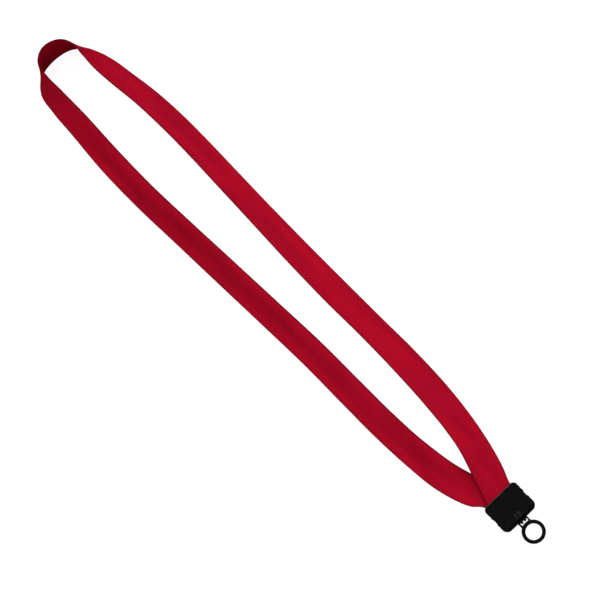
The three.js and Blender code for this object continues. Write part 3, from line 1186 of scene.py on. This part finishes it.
@dataclass
class NeckStrap:
    """The strap: one ribbon with rounded woven edges, weft ribs and four pin holes."""

    width: float = 0.01905
    thickness: float = 0.0010
    flat_length: float = 0.910
    fan_length: float = 0.028
    ribs_per_sample: int = 3
    face_spans: int = 8
    edge_steps: int = 4
    rib_height: float = 0.00003
    rib_fade: tuple[float, float] = (0.0002, 0.0012)
    bead_radius: float = 0.00042
    bead_proud: float = 0.0001
    bead_reach: float = 0.52
    bead_segments: int = 8
    bead_rings: int = 5
    hole_radius: float = 0.00115
    hole_sides: int = 32
    finish: Webbing = field(default_factory=Webbing)
    edge_finish: WovenEdge = field(default_factory=WovenEdge)

    def build(self, pins: Sequence[Plan], clamp_height: float) -> bpy.types.Object:
        """Args:
            pins: where the clamshell's pins pass through the strap.
            clamp_height: how high the hole cutters have to reach.

        Returns:
            The strap.
        """
        route = Route(ROUTE)
        samples, along = route.samples(self.finish.weft_pitch / self.ribs_per_sample)
        frames = self.frames(route, samples, along)
        strap = self.ribbon(frames, along)
        self.weft_ribs().apply(strap, self.finish.material(self.width))
        self.punch(strap, pins, clamp_height)
        edges = self.woven_edges(frames)
        hang_on(strap, Body.STRAP_AND_BACK, Slot.WEBBING, "neck_strap")
        hang_on(edges, Body.STRAP_AND_BACK, Slot.WEBBING)
        return strap

    def frames(self, route: Route, samples: np.ndarray, along: np.ndarray) -> dict[str, np.ndarray]:
        """The strap's centre, its direction across and its outer face's direction.

        Args:
            route: the route that was sampled.
            samples: x, y, lower edge and lean in degrees.
            along: the samples' distances along the route.

        Returns:
            The three sets of vectors and the distance from the mouth, by name.
        """
        x, y, lower, lean = samples.T
        lean = np.radians(lean)
        course = np.unwrap(np.arctan2(np.gradient(y), np.gradient(x)))
        away = route.mouth_distance(along)
        square = route.square_heading(along)
        square = square + np.round((course - square) / (2 * math.pi)) * 2 * math.pi
        facing = square + (course - square) * smooth_step(away, 0.0, self.fan_length)
        inward = np.stack([-np.sin(facing), np.cos(facing), np.zeros(len(x))], axis=-1)
        up = np.array([0.0, 0.0, 1.0])
        cosine, sine = np.cos(lean)[:, None], np.sin(lean)[:, None]
        rise = self.width / 2 * np.sin(lean) + self.thickness / 2 * np.abs(np.cos(lean))
        return {
            "centre": np.stack([x, y, lower + rise], axis=-1),
            "across": inward * cosine + up * sine,
            "outer": up * cosine - inward * sine,
            "away": away,
        }

    def section(self) -> np.ndarray:
        """The strap's closed section, from the outer face round.

        Returns:
            The section's corners, as distances across and out.
        """
        half = self.width / 2 - self.bead_proud
        corner = self.thickness / 2
        flat = np.linspace(-half + corner, half - corner, self.face_spans + 1)
        turn = np.linspace(math.pi / 2, -math.pi / 2, self.edge_steps + 1)[1:-1]
        upper = np.stack([flat, np.full(len(flat), corner)], axis=-1)
        far = np.stack([half - corner + corner * np.cos(turn), corner * np.sin(turn)], axis=-1)
        return np.vstack([upper, far, -upper, -far])

    def ribbon(self, frames: dict[str, np.ndarray], along: np.ndarray) -> bpy.types.Object:
        """Sweeps the section along the route.

        Args:
            frames: the strap's centre and directions.
            along: distance along the route at each section.

        Returns:
            The closed ribbon, with its map of metres across and along.
        """
        section = self.section()
        share = along / along[-1]
        where, crown, wave = np.array(CROSSWISE_SHAPE).T
        crown, wave = np.interp(share, where, crown), np.interp(share, where, wave)
        u = section[:, 0] / self.width
        rise = crown[:, None] * (1 - 4 * u**2) + wave[:, None] * np.sin(2 * math.pi * u)
        out = section[None, :, 1] + rise
        points = (
            frames["centre"][:, None]
            + frames["across"][:, None] * section[None, :, :1]
            + frames["outer"][:, None] * out[..., None]
        )
        rows, ring = points.shape[:2]
        row, k = np.meshgrid(np.arange(rows - 1), np.arange(ring), indexing="ij")
        first, second = row * ring + k, row * ring + (k + 1) % ring
        quads = np.stack([first, second, second + ring, first + ring], axis=-1).reshape(-1, 4)
        caps = [list(range(ring))[::-1], list(range((rows - 1) * ring, rows * ring))]
        strap = mesh_object("neck_strap_webbing", points.reshape(-1, 3).tolist(), quads.tolist() + caps)
        across = np.tile(section[:, 0] + self.width / 2, rows)
        distance = np.repeat(along, ring)
        self.store(strap.data, across, distance)
        return strap

    @staticmethod
    def store(mesh: bpy.types.Mesh, across: np.ndarray, along: np.ndarray) -> None:
        """Keeps the metres across and along, as attributes and as a UV map.

        Args:
            mesh: the ribbon's mesh.
            across: metres across at each vertex.
            along: metres along at each vertex.
        """
        for name, values in ((ACROSS, across), (ALONG, along)):
            mesh.attributes.new(name, "FLOAT", "POINT").data.foreach_set("value", values)
        corners = np.zeros(len(mesh.loops), int)
        mesh.loops.foreach_get("vertex_index", corners)
        places = np.stack([across[corners], along[corners]], axis=-1)
        mesh.uv_layers.new(name=WEAVE_UV).data.foreach_set("uv", places.ravel())

    def weft_ribs(self) -> GeometryGraph:
        """Builds the tree that raises a low rib over every weft thread, fading at the edges.

        Returns:
            The tree.
        """
        graph = GeometryGraph(
            "weft_ribs",
            {"Rib Pitch": self.finish.weft_pitch, "Rib Height": self.rib_height, "Width": self.width},
        )
        along, across = graph.stored(ALONG), graph.stored(ACROSS)
        wave = (along / graph.size("Rib Pitch") * (2 * math.pi)).cosine()
        inside = across.lesser(graph.size("Width") - across).rise(*self.rib_fade)
        normal = graph.node("GeometryNodeInputNormal").outputs[0]
        offset = graph.node(
            "ShaderNodeVectorMath",
            {"operation": "SCALE"},
            {"Vector": normal, "Scale": wave * inside * graph.size("Rib Height")},
        )
        graph.finish(graph.shift(graph.given.outputs[0], offset.outputs[0]))
        return graph

    def punch(self, strap: bpy.types.Object, pins: Sequence[Plan], height: float) -> None:
        """Cuts the round holes that the clamshell's pins pass through.

        Args:
            strap: the strap, with both of its ends over each pin.
            pins: the pins' x and y.
            height: how high the cutters reach.
        """
        turn = np.arange(self.hole_sides) * 2 * math.pi / self.hole_sides
        circle = self.hole_radius * np.stack([np.cos(turn), np.sin(turn)], axis=-1)
        points, faces = [], []
        for pin in pins:
            low = [len(points) + k for k in range(self.hole_sides)]
            high = [k + self.hole_sides for k in low]
            for z in (0.0, height):
                points += [(x, y, z) for x, y in (circle + pin).tolist()]
            faces += [list(side) for side in zip(low, low[1:] + low[:1], high[1:] + high[:1], high)]
            faces += [low[::-1], high]
        cutter = mesh_object("hole_cutter", points, faces)
        modifier = strap.modifiers.new("holes", "BOOLEAN")
        modifier.operation = "DIFFERENCE"
        modifier.solver = "FAST"
        modifier.object = cutter
        settle(strap)
        bpy.data.objects.remove(cutter)

    def woven_edges(self, frames: dict[str, np.ndarray]) -> bpy.types.Object:
        """Makes the little beads along both edges, where each weft thread turns back.

        Args:
            frames: the strap's centre and directions.

        Returns:
            Both edges as one object.
        """
        reach = self.width / 2 - self.bead_radius
        lines = [frames["centre"] + side * reach * frames["across"] for side in (-1, 1)]
        points = np.vstack(lines)
        count = len(lines[0])
        links = [(k, k + 1) for start in (0, count) for k in range(start, start + count - 1)]
        edges = mesh_object("neck_strap_woven_edges", points.tolist(), [], links)
        graph = GeometryGraph(
            "woven_edges",
            {
                "Bead Pitch": self.finish.weft_pitch,
                "Bead Radius": self.bead_radius,
                "Bead Segments": self.bead_segments,
                "Bead Rings": self.bead_rings,
            },
        )
        curve = graph.node("GeometryNodeMeshToCurve", inputs={0: graph.given.outputs[0]})
        spaced = graph.node(
            "GeometryNodeResampleCurve",
            {"mode": "LENGTH"},
            {"Curve": curve.outputs[0], "Length": graph.size("Bead Pitch")},
        )
        length = graph.size("Bead Pitch") / graph.size("Bead Radius") * self.bead_reach
        bead = graph.place(graph.ball("Bead"), Scale=graph.vector(1.0, 1.0, length))
        tangent = graph.node("GeometryNodeInputTangent").outputs[0]
        turn = graph.node("FunctionNodeAlignRotationToVector", {"axis": "Z"}, {"Vector": tangent})
        graph.finish(graph.repeat(spaced.outputs[0], bead, Rotation=turn.outputs[0]))
        graph.apply(edges, self.edge_finish.material())
        return edges


# ---------------------------------------------------------------- clamshell


@dataclass
class ClamshellSizes:
    """The clamshell's sizes, shared by its two halves."""

    low: Vector
    high: Vector
    bar: Vector
    height: float = 0.0065
    edge: float = 0.0009
    ring_corner: float = 0.0040
    mouth_corner: float = 0.0030
    waist_depth: float = 0.00095
    waist_half_span: float = 0.0060
    parting_gap: float = 0.0003
    parting_edge: float = 0.00018
    wall: float = 0.00135
    pocket_half_width: float = 0.0110
    pocket_end: float = -0.0045
    pocket_corner: float = 0.0005
    rim: float = 0.00022
    pins: tuple[Plan, ...] = ((-0.005, 0.0035), (0.005, 0.0035))
    pin_top: float = 0.0055
    pin_socket_top: float = 0.00595
    pegs: tuple[Plan, ...] = ((-0.0082, -0.0072), (0.0082, -0.0072))
    peg_top: float = 0.0046
    peg_socket_top: float = 0.00495
    pin_radius: float = 0.0008
    pin_tip: float = 0.00045
    socket_radius: float = 0.00123
    socket_corner: float = 0.0002
    bar_relief: float = 0.0010
    link_room: float = 0.00395
    hook_outer: float = 0.00165
    hook_room: float = 0.00195
    finger_x: float = 0.00125
    finger_half_width: float = 0.0009
    pitch: float = 0.00015

    @property
    def half_width(self) -> float:
        """Half the clamshell's width."""
        return self.high.x

    @property
    def half_length(self) -> float:
        """Half the clamshell's length."""
        return self.high.y

    @property
    def parting(self) -> float:
        """The height at which the halves meet."""
        return self.height / 2

    def waist(self, y: np.ndarray) -> np.ndarray:
        """How far the sides pull in at each place along the clamshell."""
        inside = np.clip(y / self.waist_half_span, -1.0, 1.0)
        return self.waist_depth / 2 * (1 + np.cos(math.pi * inside))

    def casing(self) -> Form:
        """The closed clamshell's outer form: rounded corners and edges, and waisted sides.

        Returns:
            The form.
        """

        def distance(p: np.ndarray) -> np.ndarray:
            """Distance to the casing.

            Args:
                p: the points.

            Returns:
                The signed distance at each point.
            """
            x, y, z = p[..., 0], p[..., 1], p[..., 2]
            corner = np.where(y < 0, self.ring_corner, self.mouth_corner)
            beyond_x = np.abs(x) + self.waist(y) - self.half_width + corner
            beyond_y = np.abs(y) - self.half_length + corner
            outside = np.hypot(np.maximum(beyond_x, 0.0), np.maximum(beyond_y, 0.0))
            plan = outside + np.minimum(np.maximum(beyond_x, beyond_y), 0.0) - corner
            return rounded_corner([plan, np.abs(z - self.parting) - self.parting], self.edge)

        return Form(distance)

    def pocket(self) -> Form:
        """The room for the strap's ends, open at the mouth.

        Returns:
            The room's form.
        """
        return block(
            (-self.pocket_half_width, self.pocket_end, self.wall),
            (self.pocket_half_width, 3 * self.half_length, self.height - self.wall),
            self.pocket_corner,
        )

    def bar_room(self) -> Form:
        """The room for the ring's bar and arms at the lower edge.

        Returns:
            The room's form.
        """
        channel = rod(self.bar.y, self.bar.z, self.link_room, self.bar_relief)
        slot = block(
            (-self.link_room, -3 * self.half_length, -self.height),
            (self.link_room, self.bar.y + self.bar_relief, 2 * self.height),
        )
        return channel.join(slot)

    def box(self, low_z: float, high_z: float) -> tuple[Point, Point]:
        """A box round one half, with room to spare.

        Args:
            low_z: the half's lowest height.
            high_z: the half's highest height.

        Returns:
            The box's two corners.
        """
        spare = 4 * self.pitch
        return (
            (self.low.x - spare, self.low.y - spare, low_z - spare),
            (self.high.x + spare, self.high.y + spare, high_z + spare),
        )


@dataclass
class GripRibs:
    """The little upright ribs down both waisted sides of a half."""

    count: int = 4
    pitch: float = 0.0019
    radius: float = 0.00062
    sunk: float = 0.0
    segments: int = 12
    rings: int = 9

    def tree(self, sizes: ClamshellSizes, low: float, high: float) -> GeometryGraph:
        """Builds the tree that adds the ribs to a half.

        Args:
            sizes: the clamshell's sizes.
            low: the ribs' lower ends.
            high: the ribs' upper ends.

        Returns:
            The tree.
        """
        graph = GeometryGraph(
            "grip_ribs",
            {
                "Rib Count": self.count,
                "Rib Pitch": self.pitch,
                "Rib Radius": self.radius,
                "Rib Segments": self.segments,
                "Rib Rings": self.rings,
                "Straight Half Length": (high - low) / 2 - self.radius,
                "Middle Height": (high + low) / 2,
                "Half Width": sizes.half_width - self.sunk,
                "Waist Depth": sizes.waist_depth,
                "Waist Half Span": sizes.waist_half_span,
            },
        )
        stretch = graph.position(2).sign() * graph.size("Straight Half Length")
        rib = graph.shift(graph.ball("Rib"), graph.vector(z=stretch))
        first = (graph.size("Rib Count") - 1.0) * graph.size("Rib Pitch") * -0.5
        sides = []
        for side in (-1.0, 1.0):
            line = graph.node(
                "GeometryNodeMeshLine",
                inputs={
                    "Count": graph.size("Rib Count"),
                    "Start Location": graph.vector(
                        graph.size("Half Width") * side, first, graph.size("Middle Height")
                    ),
                    "Offset": graph.vector(y=graph.size("Rib Pitch")),
                },
            )
            swing = (graph.position(1) / graph.size("Waist Half Span") * math.pi).cosine()
            dip = (swing + 1.0) * graph.size("Waist Depth") * (-0.5 * side)
            sides.append(graph.repeat(graph.shift(line.outputs[0], graph.vector(dip)), rib))
        graph.finish(graph.join(graph.given.outputs[0], *sides))
        return graph


# The height of an even-sided triangle whose corners are 1 from its centre.
TRIANGLE_HEIGHT = 1.5


@dataclass
class GripTeeth:
    """Rows of three-sided teeth across the pocket, which bite the strap."""

    rows: tuple[float, ...] = (-0.0026, 0.0002, 0.0070)
    half_length: float = 0.00975
    half_base: float = 0.0006
    height: float = 0.0005
    sunk: float = 0.0001

    def tree(self, base: float, direction: Direction) -> GeometryGraph:
        """Builds the tree that adds the teeth to a half.

        Args:
            base: the height of the pocket's face.
            direction: the way the teeth point.

        Returns:
            The tree.
        """
        full_height = self.height + self.sunk
        centre = (self.height - 2 * self.sunk) / 3
        graph = GeometryGraph(
            "grip_teeth",
            {
                "Tooth Length": 2 * self.half_length,
                "Tooth Half Base": self.half_base,
                "Tooth Height": full_height * direction.value,
                "Centre Height": base + centre * direction.value,
            },
        )
        prism = graph.node(
            "GeometryNodeMeshCylinder",
            {"fill_type": "NGON"},
            {"Vertices": 3, "Radius": 1.0, "Depth": graph.size("Tooth Length")},
        )
        upright = graph.place(prism.outputs[0], Rotation=(0.0, -math.pi / 2, 0.0))
        half_base = graph.size("Tooth Half Base") / math.sin(math.pi / 3)
        tall = graph.size("Tooth Height") / TRIANGLE_HEIGHT
        tooth = graph.place(upright, Scale=graph.vector(1.0, half_base, tall))
        height = graph.size("Centre Height")
        rows = [graph.place(tooth, Translation=graph.vector(0.0, row, height)) for row in self.rows]
        graph.finish(graph.join(graph.given.outputs[0], *rows))
        return graph


@dataclass
class HingeFinger:
    """One rib on the front face that runs down over the lower edge and round the ring's bar."""

    sizes: ClamshellSizes
    crest: float = 0.00705
    thick: float = 0.0006
    thin: float = 0.000325
    start: float = -0.0052
    bend: float = -0.0087
    bend_step: Point = (-0.0006, -0.00018, -0.000042)
    fall: tuple[Point, ...] = ((0.00105, 0.0024, 0.00048), (0.0002, 0.00155, 0.00036))
    section_corner: float = 0.0005
    hook_angles: tuple[float, float] = (105.0, 300.0)
    hook_steps: int = 24

    def path(self) -> list[Point]:
        """The finger's middle line along the crest, down past the edge and round the bar.

        Returns:
            The line's points, as y, z and half the thickness there.
        """
        bar = self.sizes.bar
        middle = (self.sizes.bar_relief + self.sizes.hook_outer) / 2
        flat = self.crest - self.thick
        start = (self.start - self.thick, flat, self.thick)
        bend = (self.bend, flat, self.thick)
        past_bend = tuple(a + b for a, b in zip(bend, self.bend_step))
        fall = [(bar.y + y, bar.z + z, half) for y, z, half in self.fall]
        around = [
            (bar.y + middle * math.cos(a), bar.z + middle * math.sin(a), self.thin)
            for a in np.radians(np.linspace(*self.hook_angles, self.hook_steps))
        ]
        return [start, bend, past_bend, *fall, *around]

    def form(self, x: float) -> Form:
        """The finger at one place across the clamshell.

        Args:
            x: the place.

        Returns:
            The finger's form.
        """
        path = self.path()

        def distance(p: np.ndarray) -> np.ndarray:
            """Distance to the finger: nearest part of its line, less its half thickness.

            Args:
                p: the points.

            Returns:
                The signed distance at each point.
            """
            side = np.full(p.shape[:-1], np.inf)
            for (y0, z0, r0), (y1, z1, r1) in zip(path, path[1:]):
                run = np.array([y1 - y0, z1 - z0])
                off = p[..., 1:] - np.array([y0, z0])
                t = np.clip(off @ run / (run @ run), 0.0, 1.0)
                gap = np.linalg.norm(off - t[..., None] * run, axis=-1)
                side = np.minimum(side, gap - r0 - (r1 - r0) * t)
            width = np.abs(p[..., 0] - x) - self.sizes.finger_half_width
            return rounded_corner([side, width], self.section_corner)

        return Form(distance)


@dataclass
class Clamshell:
    """Both moulded halves, each with its ribs, teeth and pins or sockets."""

    sizes: ClamshellSizes
    ribs: GripRibs = field(default_factory=GripRibs)
    teeth: GripTeeth = field(default_factory=GripTeeth)
    finger_fillet: float = 0.00025
    pin_fillet: float = 0.00025
    bore_easing: float = 0.00002

    def build(self) -> None:
        """Makes both halves."""
        finish = CLAMSHELL_FINISH.material()
        self.front(finish)
        self.back(finish)

    def front_form(self) -> Form:
        """The front half's form: its wall, the fingers round the bar, and the sockets.

        Returns:
            The form.
        """
        s = self.sizes
        shell = s.casing().keep(above(s.parting + s.parting_gap / 2), s.parting_edge)
        form = shell.cut(s.pocket(), s.rim).cut(s.bar_room(), s.parting_edge)
        for side in (-1, 1):
            form = form.join(HingeFinger(s).form(side * s.finger_x), self.finger_fillet)
        form = form.cut(rod(s.bar.y, s.bar.z, s.link_room, s.bar_relief - self.bore_easing))
        foot = s.parting - s.height
        for places, top in ((s.pins, s.pin_socket_top), (s.pegs, s.peg_socket_top)):
            for x, y in places:
                socket = post(x, y, foot, top, s.socket_radius, s.socket_corner)
                form = form.cut(socket, s.parting_edge)
        return form

    def back_form(self) -> Form:
        """The back half's form: its wall, the room for the fingers, and the pins.

        Returns:
            The form.
        """
        s = self.sizes
        shell = s.casing().keep(below(s.parting - s.parting_gap / 2), s.parting_edge)
        room = s.finger_x + s.finger_half_width + s.parting_gap
        finger_room = rod(s.bar.y, s.bar.z, room, s.hook_room)
        form = shell.cut(s.pocket(), s.rim).cut(s.bar_room(), s.parting_edge)
        form = form.cut(finger_room, s.parting_edge)
        for places, top in ((s.pins, s.pin_top), (s.pegs, s.peg_top)):
            for x, y in places:
                pin = post(x, y, s.wall / 2, top, s.pin_radius, s.pin_tip)
                form = form.join(pin, self.pin_fillet)
        return form

    def front(self, finish: bpy.types.Material) -> None:
        """Makes the front half, which rides on its own body.

        Args:
            finish: the material that it wears.
        """
        s = self.sizes
        low, high = s.box(s.low.z, s.high.z)
        half = self.front_form().solid("clamshell_front", low, high, s.pitch)
        self.ribs.tree(s, s.parting + s.parting_gap, s.height - s.edge).apply(half, finish)
        self.teeth.tree(s.height - s.wall, Direction.DOWN).apply(half, finish)
        hang_on(half, Body.FRONT_HALF, Slot.MOULDING, "front_cover")

    def back(self, finish: bpy.types.Material) -> None:
        """Makes the back half, which holds the strap's ends.

        Args:
            finish: the material that it wears.
        """
        s = self.sizes
        low, high = s.box(0.0, s.pin_top)
        half = self.back_form().solid("clamshell_back", low, high, s.pitch)
        self.ribs.tree(s, s.edge, s.parting - s.parting_gap).apply(half, finish)
        self.teeth.tree(s.wall, Direction.UP).apply(half, finish)
        hang_on(half, Body.STRAP_AND_BACK, Slot.MOULDING, "back_cover")


# ---------------------------------------------------------------- ring


@dataclass
class SwingRing:
    """The moulded O-ring with the bar, arms and crossbar that it swings by."""

    bar: Vector
    core: float = 0.006075
    half_section: float = 0.001125
    section_corner: float = 0.0007
    centre: float = 0.00955
    bar_radius: float = 0.0007
    link_half_width: float = 0.00365
    arm_width: float = 0.0011
    arm_end: float = 0.0046
    half_thickness: float = 0.0007
    link_corner: float = 0.00035
    crossbar_near: float = 0.00245
    crossbar_far: float = 0.00375
    fillet: float = 0.0003
    table_clearance: float = 0.00002
    pitch: float = 0.0001

    @property
    def droop(self) -> float:
        """How far the ring turns down on its bar to lie on the table, in radians."""
        drop = self.bar.z - self.half_section - self.table_clearance
        return math.asin(drop / (self.centre + self.core))

    def form(self) -> Form:
        """The ring in its own frame: the bar along X at the origin, the ring towards -Y.

        Returns:
            The form.
        """

        def hoop(p: np.ndarray) -> np.ndarray:
            """Distance to the round hoop.

            Args:
                p: the points.

            Returns:
                The signed distance at each point.
            """
            around = np.hypot(p[..., 0], p[..., 1] + self.centre)
            off_core = np.stack([around - self.core, p[..., 2]])
            return rounded_corner(list(np.abs(off_core) - self.half_section), self.section_corner)

        thick = self.half_thickness
        form = rod(0.0, 0.0, self.link_half_width, self.bar_radius, self.link_corner)
        for side in (-1, 1):
            edges = sorted((side * (self.link_half_width - self.arm_width), side * self.link_half_width))
            arm = block((edges[0], -self.arm_end, -thick), (edges[1], thick, thick), self.link_corner)
            form = form.join(arm, self.fillet)
        crossbar = block(
            (-self.link_half_width, -self.crossbar_far, -thick),
            (self.link_half_width, -self.crossbar_near, thick),
            self.link_corner,
        )
        return form.join(crossbar, self.fillet).join(Form(hoop), self.fillet)

    def build(self, low: Vector, high: Vector) -> bpy.types.Object:
        """Makes the ring where it lies.

        Args:
            low: the CAD ring's lowest corner.
            high: the CAD ring's highest corner.

        Returns:
            The ring.
        """
        spare = Vector.Fill(3, 4 * self.pitch)
        form = self.form().swung(self.bar, self.droop)
        ring = form.solid("swing_ring", tuple(low - spare), tuple(high + spare), self.pitch)
        wear(ring, RING_FINISH.material())
        hang_on(ring, Body.RING, Slot.RING_MOULDING, "o_ring")
        return ring


# ---------------------------------------------------------------- studio


@dataclass(frozen=True)
class Lamp:
    """One broad distant lamp: its strength, angular size in degrees and direction."""

    name: str
    strength: float
    spread: float
    towards: Point

    def build(self) -> None:
        """Adds the lamp to the scene."""
        data = bpy.data.lights.new(self.name, "SUN")
        data.energy = self.strength
        data.angle = math.radians(self.spread)
        made = bpy.data.objects.new(self.name, data)
        made.rotation_euler = Vector(self.towards).to_track_quat("Z", "Y").to_euler()
        bpy.context.scene.collection.objects.link(made)


@dataclass
class Studio:
    """The table, the lights and the camera."""

    camera_place: Point = (0.0040, -0.4006, 1.4496)
    tilt: float = math.radians(22.2)
    yaw: float = math.radians(-0.73)
    lens: float = 150.54
    sensor: float = 36.0
    floor_half: float = 60.0
    floor_drop: float = 0.0001
    sky: float = 0.95
    gloom: float = 0.04
    sky_edge: float = 0.25
    sky_full: float = 0.90
    clipping: tuple[float, float] = (0.01, 100.0)
    key: Lamp = Lamp("key", 1.65, 40.0, (0.66, 0.52, 0.58))
    fill: Lamp = Lamp("fill", 0.26, 7.0, (-0.76, 0.24, 0.60))

    def build(self) -> None:
        """Makes the camera, the lights and the table."""
        self.camera()
        self.lights()
        self.table()
        bpy.context.scene.view_settings.view_transform = "Standard"

    def camera(self) -> None:
        """Looks down at the lanyard from beyond the ring, rolled an eighth of a turn."""
        forward = Vector(
            (
                math.sin(self.yaw) * math.sin(self.tilt),
                math.cos(self.yaw) * math.sin(self.tilt),
                -math.cos(self.tilt),
            )
        )
        right = Vector((math.cos(self.yaw), -math.sin(self.yaw), 0.0))
        up = right.cross(forward)
        sideways, upwards = (right - up).normalized(), (right + up).normalized()
        data = bpy.data.cameras.new("camera")
        data.lens = self.lens
        data.sensor_width = self.sensor
        data.clip_start, data.clip_end = self.clipping
        made = bpy.data.objects.new("camera", data)
        bpy.context.scene.collection.objects.link(made)
        turn = Matrix((sideways, upwards, -forward)).transposed()
        made.matrix_world = Matrix.Translation(self.camera_place) @ turn.to_4x4()
        bpy.context.scene.camera = made

    def lights(self) -> None:
        """Sets a white overhead sky, a broad key lamp at one side and a small fill at the other."""
        world = bpy.data.worlds.new("studio")
        world.use_nodes = True
        graph = NodeGraph(world.node_tree)
        direction = graph.node("ShaderNodeTexCoord").outputs["Generated"]
        overhead = graph.part(direction, 2).rise(-self.sky_edge, self.sky_full)
        background = world.node_tree.nodes["Background"]
        graph.feed(background.inputs["Color"], (1.0, 1.0, 1.0, 1.0))
        graph.feed(background.inputs["Strength"], overhead * self.sky + self.gloom)
        bpy.context.scene.world = world
        self.key.build()
        self.fill.build()

    def table(self) -> None:
        """Lays the table just under the lanyard, with no light thrown back up from it."""
        half, z = self.floor_half, -self.floor_drop
        corners = [(-half, -half, z), (half, -half, z), (half, half, z), (-half, half, z)]
        top = mesh_object("tabletop", corners, [(0, 1, 2, 3)])
        wear(top, Tabletop().material())
        top.visible_diffuse = False
        top.visible_glossy = False


# ---------------------------------------------------------------- assembly


def main() -> None:
    """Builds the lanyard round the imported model, piece by piece."""
    logging.basicConfig(level=logging.INFO, format="%(name)s: %(message)s")
    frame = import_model()
    hinge = next(joint for joint in frame["joints"] if joint["name"] == "ring_swing")
    bar = Vector(hinge["pos_m"])
    front_low, front_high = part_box("front_cover")

    Studio().build()
    sizes = ClamshellSizes(low=front_low, high=front_high, bar=bar)
    NeckStrap().build(sizes.pins, sizes.height)
    Clamshell(sizes).build()
    SwingRing(bar).build(*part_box("o_ring"))


if __name__ == "__main__":
    main()
